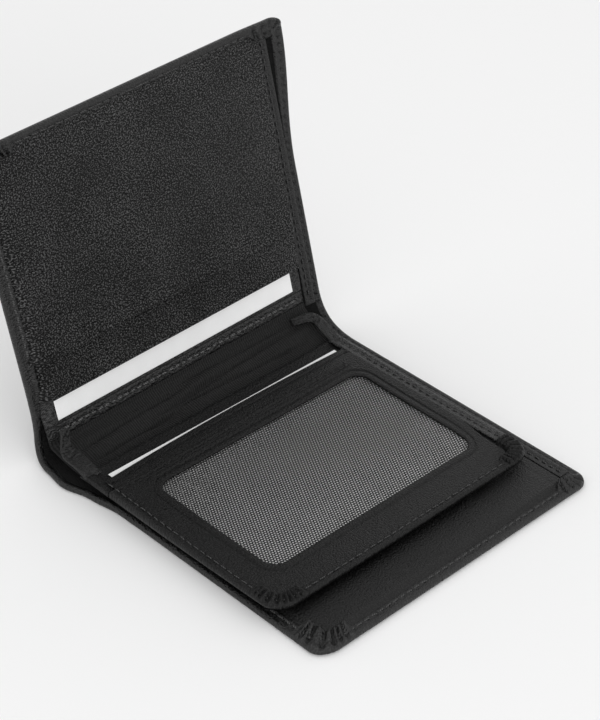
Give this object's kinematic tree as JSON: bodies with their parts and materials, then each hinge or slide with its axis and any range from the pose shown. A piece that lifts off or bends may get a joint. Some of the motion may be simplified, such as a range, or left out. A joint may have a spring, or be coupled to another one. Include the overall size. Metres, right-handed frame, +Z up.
{
  "type": "wallet",
  "caption": "Black leather billfold standing open on its base leaf, with card pockets on the leaning cover leaf and a mesh-window flap that turns on the spine.",
  "frame": {"origin": "on the surface the wallet stands on, under the middle of the base leaf", "axes": "+X along the spine towards the open end of the note compartment, +Y from the base leaf's free edge towards the spine, +Z up"},
  "size_m": [0.1035, 0.1283, 0.0962],
  "materials": {
    "shell_leather": "fine-grained, semi-matte",
    "inner_leather": "fine-grained, semi-matte",
    "lining_cloth": "plain woven, matte",
    "ribbed_cloth": "ribbed, matte",
    "mesh": "open net, matte",
    "thread": "twisted, matte",
    "card": "smooth, blank"
  },
  "bodies": {
    "base": {"base_outer_shell": "shell_leather", "base_shell_lining": "lining_cloth", "base_divider": "inner_leather", "base_divider_border": "inner_leather", "base_border_seam": "thread", "base_inner_facing": "inner_leather", "base_edge_seam": "thread"},
    "spine": {"spine_shell": "shell_leather", "spine_lining": "lining_cloth", "spine_gusset": "ribbed_cloth", "gusset_tab_left": "inner_leather", "gusset_tab_right": "inner_leather"},
    "cover": {"cover_outer_shell": "shell_leather", "cover_shell_lining": "lining_cloth", "cover_divider": "inner_leather", "cover_divider_border": "inner_leather", "cover_border_seam": "thread", "cover_hem": "inner_leather", "cover_hem_seam": "thread", "cover_backing": "lining_cloth", "cover_lower_pocket": "inner_leather", "cover_front_pocket": "inner_leather", "cover_edge_seam": "thread"},
    "cover_card": {"cover_card": "card"},
    "flap": {"flap_lining": "ribbed_cloth", "flap_pocket_strip": "inner_leather", "flap_back_panel": "inner_leather", "flap_border": "inner_leather", "flap_border_seam": "thread", "flap_window_mesh": "mesh", "flap_front_panel": "inner_leather", "flap_edge_seam": "thread"},
    "flap_card": {"flap_card": "card"}
  },
  "joints": [
    {"name": "spine_fold", "type": "hinge", "parent": "base", "child": "spine", "pos_m": [0, 0.0465, 0.0015], "axis": [-1, 0, 0], "range_deg": [-75, 15]},
    {"name": "cover_fold", "type": "hinge", "parent": "spine", "child": "cover", "pos_m": [0, 0.06099, 0.00538], "axis": [-1, 0, 0], "range_deg": [-27, 63]},
    {"name": "flap_turn", "type": "hinge", "parent": "base", "child": "flap", "pos_m": [0, 0.0459, 0.00419], "axis": [-1, 0, 0], "range_deg": [0, 100]},
    {"name": "cover_card_slide", "type": "slide", "parent": "cover", "child": "cover_card", "axis": [0, -0.2079, -0.9781], "range_m": [-0.0055, 0.007]},
    {"name": "flap_card_slide", "type": "slide", "parent": "flap", "child": "flap_card", "axis": [0, 1, 0], "range_m": [-0.004, 0.005]}
  ]
}
